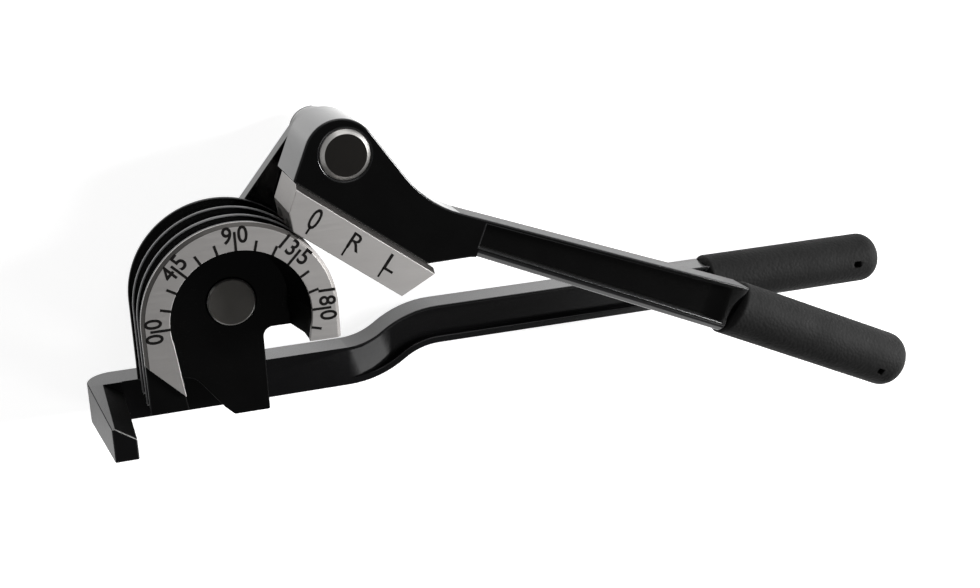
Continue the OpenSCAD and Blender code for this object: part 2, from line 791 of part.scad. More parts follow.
// Cross pins through the shoe and the tongue, from the back
module cross_pins(play) {
  for (u = [shoe_mid - tongue_l / 3, shoe_mid + tongue_l / 3])
    translate([u, shoe_top - tongue_h / 2, 0])
      between(shoe_back_z - play, shoe_mid_z + tongue_w / 2 + play) circle(cross_pin_d / 2 + play);
}

module shoe_pins() {
  color([0.5, 0.5, 0.5]) in_lever() cross_pins(0);
}

// Outline of the shoe with its grooved face from start on
module shoe_plan(start) {
  entry = start - shoe_lead;
  polygon([
    [start, shoe_face], [shoe_end, shoe_face], [shoe_end + shoe_lean, shoe_top - shoe_proud],
    [shoe_end + shoe_lean, shoe_top], [entry - shoe_proud, shoe_top], [entry, shoe_face + shoe_lead]
  ]);
}

module forming_shoe() {
  color([0.66, 0.65, 0.63]) in_lever() difference() {
    union() {
      between(shoe_back_z, shoe_front_z) shoe_plan(shoe_start + shoe_step);
      between(shoe_step_z, shoe_front_z) shoe_plan(shoe_start);
    }
    for (g = grooves) translate([-far, groove_line, g[0]]) rotate([0, 90, 0]) cylinder(r = g[1], h = 2 * far);
    // slot for the tongue
    translate([tongue_start, shoe_top - tongue_h, shoe_mid_z - tongue_w / 2] - seat_play * [1, 1, 1])
      cube([tongue_l + 2 * seat_play, tongue_h + over, tongue_w + 2 * seat_play]);
    // bevel along the upper edge of the front
    translate([-far, shoe_top - shoe_proud, shoe_front_z]) rotate([-45, 0, 0]) cube([2 * far, far, far]);
    cross_pins(seat_play);
  }
}

module upper_grip() {
  color([0.22, 0.22, 0.22]) in_lever() at_lever_grip()
    grip(upper_grip_d, upper_grip_l, mouth_slant - grip_droop, vent_turn);
}

lower_handle();
form_wheel();
scale_ring();
wheel_pivot_pin();
wheel_thrust_washer();
wheel_pin_washer();
wheel_pin_clip();
wheel_rivets();
lower_grip();
link_arm();
link_bush();
lever_pivot_pin();
lever_spacer();
lever_pin_washer();
lever_pin_clip();
upper_lever();
forming_shoe();
shoe_pins();
lever_pivot_bush();
upper_grip();
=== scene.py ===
"""Lever tube bender with three bending grooves, lying on its back in a plain white studio."""

import logging
import math
from collections.abc import Callable
from dataclasses import dataclass
from enum import Enum

import bmesh
import bpy
from mathutils import Matrix, Vector


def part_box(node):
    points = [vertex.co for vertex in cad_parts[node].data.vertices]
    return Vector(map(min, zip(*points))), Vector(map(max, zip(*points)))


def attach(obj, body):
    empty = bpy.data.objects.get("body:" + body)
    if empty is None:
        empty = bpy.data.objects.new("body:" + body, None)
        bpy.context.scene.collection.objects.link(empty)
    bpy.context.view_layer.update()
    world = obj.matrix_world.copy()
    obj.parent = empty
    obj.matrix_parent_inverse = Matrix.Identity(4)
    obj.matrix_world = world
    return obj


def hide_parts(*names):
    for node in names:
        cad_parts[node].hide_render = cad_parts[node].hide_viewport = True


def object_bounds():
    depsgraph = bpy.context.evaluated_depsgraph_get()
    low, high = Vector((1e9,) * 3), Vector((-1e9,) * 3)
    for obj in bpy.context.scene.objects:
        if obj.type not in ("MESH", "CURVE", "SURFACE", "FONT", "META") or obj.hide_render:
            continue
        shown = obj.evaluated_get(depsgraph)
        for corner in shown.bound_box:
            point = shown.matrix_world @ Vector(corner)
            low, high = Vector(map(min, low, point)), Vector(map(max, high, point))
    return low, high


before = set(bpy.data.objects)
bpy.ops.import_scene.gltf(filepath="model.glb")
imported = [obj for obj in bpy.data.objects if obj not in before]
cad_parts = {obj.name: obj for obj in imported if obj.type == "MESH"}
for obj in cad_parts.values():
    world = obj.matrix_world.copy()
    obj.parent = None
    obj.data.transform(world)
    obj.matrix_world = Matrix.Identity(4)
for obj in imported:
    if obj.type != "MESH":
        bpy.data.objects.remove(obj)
CAD_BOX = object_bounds()
LOG = logging.getLogger("tube_bender")
MM = 0.001
EDGE_LAYER = "rounded_edge"
# A Wave texture runs through one period when its scaled distance grows by this much.
WAVE_PHASE = math.tau / 20


class Body(Enum):
    """The rigid bodies that the pieces move with."""

    HANDLE = "handle"
    LINK = "link"
    LEVER = "lever"


class Side(Enum):
    """The side of a tick that a group of digits stands on."""

    BEFORE = "RIGHT"
    AFTER = "LEFT"
    MIDDLE = "CENTER"


def linear(code: str) -> tuple[float, float, float, float]:
    """Turns an sRGB hex colour into linear values.

    Args:
        code: Colour as #rrggbb.

    Returns:
        Red, green, blue and full alpha, linear.
    """
    parts = [int(code[i:i + 2], 16) / 255 for i in (1, 3, 5)]
    red, green, blue = [p / 12.92 if p <= 0.04045 else ((p + 0.055) / 1.055) ** 2.4 for p in parts]
    return red, green, blue, 1.0


def add_node(
    tree: bpy.types.NodeTree, kind: str, sockets: dict | None = None, **settings: object
) -> bpy.types.Node:
    """Adds a node with its settings and its inputs.

    Args:
        tree: Node tree that gets the node.
        kind: Blender's name of the node type.
        sockets: Input name or number to a value, or to the output that it is linked from.
        settings: Properties of the node.

    Returns:
        The new node.
    """
    node = tree.nodes.new(kind)
    for name, value in settings.items():
        setattr(node, name, value)
    for name, value in (sockets or {}).items():
        if isinstance(value, bpy.types.NodeSocket):
            tree.links.new(value, node.inputs[name])
        else:
            node.inputs[name].default_value = value
    return node


@dataclass(frozen=True)
class Finish:
    """What every finish shares: its name and the start of its material."""

    name: str

    def blank(self) -> tuple[bpy.types.Material, bpy.types.NodeTree, bpy.types.Node]:
        """Starts a material.

        Returns:
            The material, its node tree and its surface shader.
        """
        material = bpy.data.materials.new(self.name)
        material.use_nodes = True
        tree = material.node_tree
        tree.nodes.clear()
        shader = add_node(tree, "ShaderNodeBsdfPrincipled")
        add_node(tree, "ShaderNodeOutputMaterial", {"Surface": shader.outputs["BSDF"]})
        return material, tree, shader


@dataclass(frozen=True)
class BlackCoat(Finish):
    """Black coating on forged steel: near black with a clear gloss, rubbed paler along its edges."""

    dark: str = "#030303"
    pale: str = "#090909"
    worn: str = "#2c2c2d"
    worn_share: float = 0.5
    patch_mm: float = 7.0
    grain_mm: float = 0.7
    smoothest: float = 0.1
    roughest: float = 0.17
    gloss: float = 0.6
    relief: float = 0.12
    relief_mm: float = 0.05

    def material(self) -> bpy.types.Material:
        """Makes the coating with cloudy tone, fine grain and worn edges.

        Returns:
            The new material.
        """
        material, tree, shader = self.blank()
        place = add_node(tree, "ShaderNodeTexCoord").outputs["Object"]
        patches = add_node(
            tree, "ShaderNodeTexNoise", {"Vector": place, "Scale": 1 / (self.patch_mm * MM), "Detail": 4.0}
        )
        grain = add_node(
            tree, "ShaderNodeTexNoise", {"Vector": place, "Scale": 1 / (self.grain_mm * MM), "Detail": 2.0}
        )
        tone = add_node(
            tree, "ShaderNodeMix",
            {0: patches.outputs["Fac"], 6: linear(self.dark), 7: linear(self.pale)}, data_type="RGBA",
        )
        edge = add_node(tree, "ShaderNodeAttribute", attribute_name=EDGE_LAYER)
        rubbed = add_node(
            tree, "ShaderNodeMath", {0: edge.outputs["Fac"], 1: self.worn_share}, operation="MULTIPLY"
        )
        worn = add_node(
            tree, "ShaderNodeMix",
            {0: rubbed.outputs["Value"], 6: tone.outputs[2], 7: linear(self.worn)}, data_type="RGBA",
        )
        rough = add_node(
            tree, "ShaderNodeMapRange",
            {"Value": grain.outputs["Fac"], "To Min": self.smoothest, "To Max": self.roughest},
        )
        bump = add_node(
            tree, "ShaderNodeBump",
            {"Height": grain.outputs["Fac"], "Strength": self.relief, "Distance": self.relief_mm * MM},
        )
        tree.links.new(worn.outputs[2], shader.inputs["Base Color"])
        tree.links.new(rough.outputs["Result"], shader.inputs["Roughness"])
        tree.links.new(bump.outputs["Normal"], shader.inputs["Normal"])
        shader.inputs["Specular IOR Level"].default_value = self.gloss
        return material


@dataclass(frozen=True)
class SatinAluminium(Finish):
    """Satin ground aluminium: pale warm grey, evenly soft, with faint grinding lines along one way."""

    tone: str = "#d6d3d1"
    shade: str = "#c4c1be"
    turn_deg: float = 0.0
    line_mm: float = 0.5
    line_length_mm: float = 12.0
    patch_mm: float = 5.0
    smoothest: float = 0.4
    roughest: float = 0.5
    metallic: float = 0.92
    relief: float = 0.1
    relief_mm: float = 0.04

    def material(self) -> bpy.types.Material:
        """Makes the metal with stretched grinding lines that vary its tone, gloss and relief.

        Returns:
            The new material.
        """
        material, tree, shader = self.blank()
        place = add_node(tree, "ShaderNodeTexCoord").outputs["Object"]
        along = add_node(
            tree, "ShaderNodeMapping",
            {
                "Vector": place,
                "Rotation": (0.0, 0.0, math.radians(-self.turn_deg)),
                "Scale": (1 / (self.line_length_mm * MM), 1 / (self.line_mm * MM), 1 / (self.line_mm * MM)),
            },
        )
        lines = add_node(
            tree, "ShaderNodeTexNoise", {"Vector": along.outputs["Vector"], "Scale": 1.0, "Detail": 3.0}
        )
        patches = add_node(
            tree, "ShaderNodeTexNoise", {"Vector": place, "Scale": 1 / (self.patch_mm * MM), "Detail": 2.0}
        )
        blend = add_node(
            tree, "ShaderNodeMath", {0: lines.outputs["Fac"], 1: patches.outputs["Fac"]},
            operation="MULTIPLY",
        )
        colour = add_node(
            tree, "ShaderNodeMix",
            {0: blend.outputs["Value"], 6: linear(self.tone), 7: linear(self.shade)}, data_type="RGBA",
        )
        rough = add_node(
            tree, "ShaderNodeMapRange",
            {"Value": lines.outputs["Fac"], "To Min": self.smoothest, "To Max": self.roughest},
        )
        bump = add_node(
            tree, "ShaderNodeBump",
            {"Height": lines.outputs["Fac"], "Strength": self.relief, "Distance": self.relief_mm * MM},
        )
        tree.links.new(colour.outputs[2], shader.inputs["Base Color"])
        tree.links.new(rough.outputs["Result"], shader.inputs["Roughness"])
        tree.links.new(bump.outputs["Normal"], shader.inputs["Normal"])
        shader.inputs["Metallic"].default_value = self.metallic
        return material


@dataclass(frozen=True)
class TurnedSteel(Finish):
    """Turned steel pin: brushed grey face with fine rings round its axis, and a painted highlight, a paler
    ring of colour on its bevel.
    """

    centre: Vector = Vector((0.0, 0.0, 0.0))
    face: str = "#96938f"
    # Colour of the painted highlight on the bevel.
    edge: str = "#d8d6d3"
    highlight_r_mm: float = 6.0
    highlight_blend_mm: float = 0.1
    ring_mm: float = 0.3
    ring_waver: float = 0.6
    smoothest: float = 0.3
    roughest: float = 0.42
    relief: float = 0.15
    relief_mm: float = 0.02

    def material(self) -> bpy.types.Material:
        """Makes the steel; the rings are coarser than real turning marks, so that they show.

        Returns:
            The new material.
        """
        material, tree, shader = self.blank()
        place = add_node(tree, "ShaderNodeTexCoord").outputs["Object"]
        centred = add_node(
            tree, "ShaderNodeMapping",
            {"Vector": place, "Location": (-self.centre.x, -self.centre.y, 0.0), "Scale": (1.0, 1.0, 0.0)},
        ).outputs["Vector"]
        radius = add_node(tree, "ShaderNodeVectorMath", {0: centred}, operation="LENGTH").outputs["Value"]
        rings = add_node(
            tree, "ShaderNodeTexWave",
            {
                "Vector": centred,
                "Scale": WAVE_PHASE / (self.ring_mm * MM),
                "Distortion": self.ring_waver,
                "Detail": 2.0,
            },
            wave_type="RINGS", rings_direction="Z",
        )
        # Painted highlight: the colour turns paler towards the rim, standing for light on the bevel.
        blend_start = self.highlight_r_mm - self.highlight_blend_mm
        bevel = add_node(
            tree, "ShaderNodeMapRange",
            {"Value": radius, "From Min": blend_start * MM, "From Max": self.highlight_r_mm * MM},
        )
        colour = add_node(
            tree, "ShaderNodeMix",
            {0: bevel.outputs["Result"], 6: linear(self.face), 7: linear(self.edge)}, data_type="RGBA",
        )
        rough = add_node(
            tree, "ShaderNodeMapRange",
            {"Value": rings.outputs["Fac"], "To Min": self.smoothest, "To Max": self.roughest},
        )
        bump = add_node(
            tree, "ShaderNodeBump",
            {"Height": rings.outputs["Fac"], "Strength": self.relief, "Distance": self.relief_mm * MM},
        )
        tree.links.new(colour.outputs[2], shader.inputs["Base Color"])
        tree.links.new(rough.outputs["Result"], shader.inputs["Roughness"])
        tree.links.new(bump.outputs["Normal"], shader.inputs["Normal"])
        shader.inputs["Metallic"].default_value = 1.0
        return material


@dataclass(frozen=True)
class GripVinyl(Finish):
    """Dipped charcoal vinyl: matte, with a fine pebbled skin and a slightly cloudy tone."""

    tone: str = "#202020"
    shade: str = "#181818"
    pebble_mm: float = 0.9
    patch_mm: float = 8.0
    smoothest: float = 0.62
    roughest: float = 0.76
    gloss: float = 0.1
    relief: float = 0.6
    relief_mm: float = 0.2

    def material(self) -> bpy.types.Material:
        """Makes the vinyl; its pebbles stand out as relief.

        Returns:
            The new material.
        """
        material, tree, shader = self.blank()
        place = add_node(tree, "ShaderNodeTexCoord").outputs["Object"]
        pebbles = add_node(
            tree, "ShaderNodeTexVoronoi", {"Vector": place, "Scale": 1 / (self.pebble_mm * MM)}
        )
        patches = add_node(
            tree, "ShaderNodeTexNoise", {"Vector": place, "Scale": 1 / (self.patch_mm * MM), "Detail": 5.0}
        )
        colour = add_node(
            tree, "ShaderNodeMix",
            {0: patches.outputs["Fac"], 6: linear(self.tone), 7: linear(self.shade)}, data_type="RGBA",
        )
        rough = add_node(
            tree, "ShaderNodeMapRange",
            {"Value": patches.outputs["Fac"], "To Min": self.smoothest, "To Max": self.roughest},
        )
        bump = add_node(
            tree, "ShaderNodeBump",
            {
                "Height": pebbles.outputs["Distance"],
                "Strength": self.relief,
                "Distance": self.relief_mm * MM,
            },
            invert=True,
        )
        tree.links.new(colour.outputs[2], shader.inputs["Base Color"])
        tree.links.new(rough.outputs["Result"], shader.inputs["Roughness"])
        tree.links.new(bump.outputs["Normal"], shader.inputs["Normal"])
        shader.inputs["Specular IOR Level"].default_value = self.gloss
        return material


@dataclass(frozen=True)
class PlainMetal(Finish):
    """Plain small hardware: one metal with a faint mottle in its tone and gloss."""

    tone: str = "#9a9a98"
    shade: str = "#7d7d7c"
    mottle_mm: float = 1.5
    roughness: float = 0.36
    spread: float = 0.06

    def material(self) -> bpy.types.Material:
        """Makes the metal with its mottle.

        Returns:
            The new material.
        """
        material, tree, shader = self.blank()
        place = add_node(tree, "ShaderNodeTexCoord").outputs["Object"]
        mottle = add_node(
            tree, "ShaderNodeTexNoise", {"Vector": place, "Scale": 1 / (self.mottle_mm * MM), "Detail": 4.0}
        )
        colour = add_node(
            tree, "ShaderNodeMix",
            {0: mottle.outputs["Fac"], 6: linear(self.tone), 7: linear(self.shade)}, data_type="RGBA",
        )
        rough = add_node(
            tree, "ShaderNodeMapRange",
            {
                "Value": mottle.outputs["Fac"],
                "To Min": self.roughness - self.spread,
                "To Max": self.roughness + self.spread,
            },
        )
        tree.links.new(colour.outputs[2], shader.inputs["Base Color"])
        tree.links.new(rough.outputs["Result"], shader.inputs["Roughness"])
        shader.inputs["Metallic"].default_value = 1.0
        return material


@dataclass(frozen=True)
class MarkInk(Finish):
    """Black filler in fine stamped strokes: dull, slightly uneven black."""

    tone: str = "#0a0909"
    shade: str = "#161413"
    speck_mm: float = 0.4
    roughness: float = 0.8
    gloss: float = 0.1

    def material(self) -> bpy.types.Material:
        """Makes the filler with its uneven tone.

        Returns:
            The new material.
        """
        material, tree, shader = self.blank()
        place = add_node(tree, "ShaderNodeTexCoord").outputs["Object"]
        specks = add_node(
            tree, "ShaderNodeTexNoise", {"Vector": place, "Scale": 1 / (self.speck_mm * MM), "Detail": 2.0}
        )
        colour = add_node(
            tree, "ShaderNodeMix",
            {0: specks.outputs["Fac"], 6: linear(self.tone), 7: linear(self.shade)}, data_type="RGBA",
        )
        tree.links.new(colour.outputs[2], shader.inputs["Base Color"])
        shader.inputs["Roughness"].default_value = self.roughness
        shader.inputs["Specular IOR Level"].default_value = self.gloss
        return material


@dataclass
class Easing:
    """How the edges of a piece are rounded off, in millimetres and degrees.

    Room is the length that a neighbour edge needs, in widths of the rounding, unless it runs straight on.
    A cut is a plane, as a point and a normal, that splits the flat faces round a hole of the piece.
    """

    width: float
    segments: int = 3
    sharp_deg: float = 35.0
    fold_deg: float = 110.0
    tries: int = 4
    reach: float = 1.2
    room: float = 2.2
    straight_on: float = -0.85
    merge: float = 0.004
    cut_slack: float = 0.001
    flat_deg: float = 0.6
    cuts: tuple[tuple[Vector, Vector], ...] = ()

    def open_edges(self, mesh: bmesh.types.BMesh, folds: list[Vector]) -> list[bmesh.types.BMEdge]:
        """Finds the outer edges that have room for the rounding.

        Args:
            mesh: Merged mesh in millimetres.
            folds: Places where an earlier try folded over, which stay sharp.

        Returns:
            The edges to round.
        """
        chosen = []
        for edge in mesh.edges:
            if len(edge.link_faces) != 2 or not edge.is_convex:
                continue
            if edge.calc_face_angle() < math.radians(self.sharp_deg):
                continue
            ends = [vert.co for vert in edge.verts]
            if any((end - fold).length < self.reach for end in ends for fold in folds):
                continue
            if all(self.has_room(edge, vert) for vert in edge.verts):
                chosen.append(edge)
        return chosen

    def has_room(self, edge: bmesh.types.BMEdge, vert: bmesh.types.BMVert) -> bool:
        """Says whether the neighbours of an edge at one end are long enough for the rounding.

        Args:
            edge: Edge that is to be rounded.
            vert: One of its ends.

        Returns:
            True if no short neighbour stands across it.
        """
        way = (edge.other_vert(vert).co - vert.co).normalized()
        for other in vert.link_edges:
            side = other.other_vert(vert).co - vert.co
            short = side.length < self.room * self.width
            if other is not edge and short and way.dot(side.normalized()) > self.straight_on:
                return False
        return True

    def split(self, mesh: bmesh.types.BMesh) -> None:
        """Splits the faces along the cuts and marks the new edges as seams, which stay.

        Args:
            mesh: Merged mesh in millimetres.
        """
        for place, way in self.cuts:
            geometry = [*mesh.verts, *mesh.edges, *mesh.faces]
            cut = bmesh.ops.bisect_plane(
                mesh, geom=geometry, dist=self.cut_slack, plane_co=place, plane_no=way
            )
            for item in cut["geom_cut"]:
                if isinstance(item, bmesh.types.BMEdge):
                    item.seam = True

    def rounded(
        self, source: bpy.types.Mesh, reshape: Callable[[bmesh.types.BMesh], None] | None = None
    ) -> bmesh.types.BMesh:
        """Rounds the edges of a merged copy of a mesh, and leaves sharp what would fold over.

        Args:
            source: Mesh in metres.
            reshape: Change made to the merged copy, in millimetres, before it is rounded.

        Returns:
            The rounded copy in metres.
        """
        folds: list[Vector] = []
        for _ in range(self.tries):
            mesh = bmesh.new()
            mesh.from_mesh(source)
            bmesh.ops.scale(mesh, vec=(1 / MM,) * 3, verts=mesh.verts)
            bmesh.ops.remove_doubles(mesh, verts=mesh.verts, dist=self.merge)
            self.split(mesh)
            bmesh.ops.dissolve_limit(
                mesh, angle_limit=math.radians(self.flat_deg), verts=mesh.verts, edges=mesh.edges,
                delimit={"SEAM"},
            )
            if reshape:
                reshape(mesh)
            layer = mesh.faces.layers.float.new(EDGE_LAYER)
            bevelled = bmesh.ops.bevel(
                mesh, geom=self.open_edges(mesh, folds), offset=self.width, offset_type="OFFSET",
                affect="EDGES", segments=self.segments, profile=0.5, clamp_overlap=False, material=-1,
            )
            for face in bevelled["faces"]:
                face[layer] = 1.0
            bad = [
                (edge.verts[0].co + edge.verts[1].co) / 2 for edge in mesh.edges
                if len(edge.link_faces) == 2 and edge.calc_face_angle() > math.radians(self.fold_deg)
            ]
            if not bad:
                break
            folds += bad
        bmesh.ops.recalc_face_normals(mesh, faces=mesh.faces)
        bmesh.ops.scale(mesh, vec=(MM,) * 3, verts=mesh.verts)
        return mesh


@dataclass(frozen=True)
class Shading:
    """How smooth the faces of a piece look; angles in degrees, area in square millimetres.

    Large faces stay flat up to their rim, and the rounded edges between them take up the turn.
    """

    flat_deg: float = 24.0
    round_deg: float = 50.0
    large: float = 30.0

    def corner_normals(self, mesh: bmesh.types.BMesh) -> list[Vector]:
        """Works out the shading normal at every corner of every face.

        Args:
            mesh: Piece in metres, its rounded faces marked.

        Returns:
            The normals, face by face.
        """
        rounding = mesh.faces.layers.float.get(EDGE_LAYER) or mesh.faces.layers.float.new(EDGE_LAYER)
        mesh.normal_update()
        areas = {face: face.calc_area() for face in mesh.faces}
        ranks = {
            face: 0 if face[rounding] else 2 if area > self.large * MM * MM else 1
            for face, area in areas.items()
        }
        normals = []
        for face in mesh.faces:
            face.smooth = True
            for vert in face.verts:
                near = [
                    other for other in vert.link_faces if other is face or self.blends(face, other, ranks)
                ]
                best = max(ranks[other] for other in near)
                total = Vector()
                for other in near:
                    if ranks[other] == best:
                        total += other.normal * areas[other]
                normals.append(total.normalized())
        return normals

    def blends(self, face: bmesh.types.BMFace, other: bmesh.types.BMFace, ranks: dict) -> bool:
        """Says whether two faces at a corner look like one surface.

        Args:
            face: One face.
            other: The other face.
            ranks: Rank of every face: 0 on a rounded edge, 2 if it is large, otherwise 1.

        Returns:
            True if the turn between them is small enough.
        """
        limit = self.flat_deg if ranks[face] and ranks[other] else self.round_deg
        return face.normal.angle(other.normal, 0.0) < math.radians(limit)


def finished_piece(
    name: str, mesh: bmesh.types.BMesh, body: Body, material: bpy.types.Material
) -> bpy.types.Object:
    """Turns a bmesh into a piece that rides on a body.

    Args:
        name: Name of the piece.
        mesh: Its shape, in metres and in place.
        body: Body that it moves with.
        material: Its material.

    Returns:
        The new object.
    """
    normals = Shading().corner_normals(mesh)
    data = bpy.data.meshes.new(name)
    mesh.to_mesh(data)
    mesh.free()
    data.normals_split_custom_set(normals)
    data.materials.append(material)
    piece = bpy.data.objects.new(name, data)
    bpy.context.scene.collection.objects.link(piece)
    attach(piece, body.value)
    LOG.info("%s: %d faces on %s", name, len(data.polygons), body.value)
    return piece


def dressed(
    node: str, easing: Easing, body: Body, material: bpy.types.Material,
    reshape: Callable[[bmesh.types.BMesh], None] | None = None,
) -> bpy.types.Object:
    """Makes a copy of a CAD piece with rounded edges, which stands for it.

    Args:
        node: Name of the CAD piece.
        easing: Rounding of its edges.
        body: Body that it moves with.
        material: Its material.
        reshape: Change made to the merged copy, in millimetres, before it is rounded.

    Returns:
        The new object.
    """
    mesh = easing.rounded(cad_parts[node].data, reshape)
    piece = finished_piece(node + "_dressed", mesh, body, material)
    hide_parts(node)
    return piece


def second_coat(
    piece: bpy.types.Object, material: bpy.types.Material,
    chosen: Callable[[bpy.types.MeshPolygon, bool], bool],
) -> None:
    """Gives some faces of a piece another material.

    Args:
        piece: Dressed piece.
        material: The other material.
        chosen: Says of a face, and of whether it is a rounded edge, if it gets that material.
    """
    piece.data.materials.append(material)
    number = len(piece.data.materials) - 1
    edges = piece.data.attributes[EDGE_LAYER].data
    for face in piece.data.polygons:
        if chosen(face, bool(edges[face.index].value)):
            face.material_index = number


def coat(node: str, material: bpy.types.Material) -> None:
    """Gives a CAD piece that keeps its own mesh its material.

    Args:
        node: Name of the CAD piece.
        material: Its material.
    """
    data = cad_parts[node].data
    data.materials.clear()
    data.materials.append(material)
    LOG.info("%s: CAD piece with %s", node, material.name)


@dataclass
class Marks:
    """Fine strokes and digits on a flat face, gathered in one mesh; sizes in millimetres.

    The weight and the thickness of the digits are shares of the size of the plain font.
    """

    face_z: float
    stroke: float = 0.68
    depth: float = 0.06
    digit_h: float = 4.3
    digit_stretch: float = 0.9
    digit_weight: float = 0.018
    digit_thickness: float = 0.01
    merge: float = 0.002

    def __post_init__(self) -> None:
        """Starts the mesh."""
        self.mesh = bmesh.new()

    def line(self, start: Vector, end: Vector) -> None:
        """Draws one stroke.

        Args:
            start: Its start on the face.
            end: Its end on the face.
        """
        way = end - start
        place = (
            Matrix.Translation(((start + end) / 2).to_3d() + Vector((0, 0, self.face_z)))
            @ Matrix.Rotation(math.atan2(way.y, way.x), 4, "Z")
            @ Matrix.Diagonal((way.length, self.stroke, self.depth, 1.0))
        )
        bmesh.ops.create_cube(self.mesh, size=1.0, matrix=place)

    def digits(
        self, text: str, at: Vector, right: Vector, side: Side, height: float = 0.0, stretch: float = 0.0
    ) -> None:
        """Draws digits whose foot stands at a point.

        Args:
            text: The digits.
            at: Point on the face at the foot of the digits.
            right: Reading direction.
            side: Side of the point that the digits stand on.
            height: Height of the digits, or 0 for the usual one.
            stretch: Width of the digits against that of the plain font, or 0 for the usual one.
        """
        curve = bpy.data.curves.new("digits", "FONT")
        curve.body = text
        curve.align_x = side.value
        curve.size = 1.0
        curve.bevel_depth = self.digit_weight
        curve.bevel_resolution = 0
        curve.extrude = self.digit_thickness
        curve.resolution_u = 6
        holder = bpy.data.objects.new("digits", curve)
        bpy.context.scene.collection.objects.link(holder)
        bpy.context.view_layer.update()
        flat = bpy.data.meshes.new_from_object(holder.evaluated_get(bpy.context.evaluated_depsgraph_get()))
        bpy.data.objects.remove(holder)
        bpy.data.curves.remove(curve)
        top = max(vert.co.y for vert in flat.vertices)
        high = max(vert.co.z for vert in flat.vertices)
        scale = (height or self.digit_h) / top
        flat.transform(
            Matrix.Translation(at.to_3d() + Vector((0, 0, self.face_z)))
            @ Matrix.Rotation(math.atan2(right.y, right.x), 4, "Z")
            @ Matrix.Diagonal((scale * (stretch or self.digit_stretch), scale, self.depth / 2 / high, 1.0))
        )
        self.mesh.from_mesh(flat)
        bpy.data.meshes.remove(flat)

    def finish(self, name: str, body: Body, material: bpy.types.Material) -> bpy.types.Object:
        """Turns the marks into a piece.

        Args:
            name: Name of the piece.
            body: Body that it moves with.
            material: Its material.

        Returns:
            The new object.
        """
        bmesh.ops.scale(self.mesh, vec=(MM,) * 3, verts=self.mesh.verts)
        bmesh.ops.remove_doubles(self.mesh, verts=self.mesh.verts, dist=self.merge * MM)
        bmesh.ops.recalc_face_normals(self.mesh, faces=self.mesh.faces)
        return finished_piece(name, self.mesh, body, material)


def polar(radius: float, degrees: float) -> Vector:
    """Gives the flat point at a radius and an angle."""
    return Vector((radius * math.cos(math.radians(degrees)), radius * math.sin(math.radians(degrees))))


def axis_of(node: str) -> Vector:
    """Gives the middle of a CAD piece, which lies on the axis of a round one."""
    low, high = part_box(node)
    return (low + high) / 2


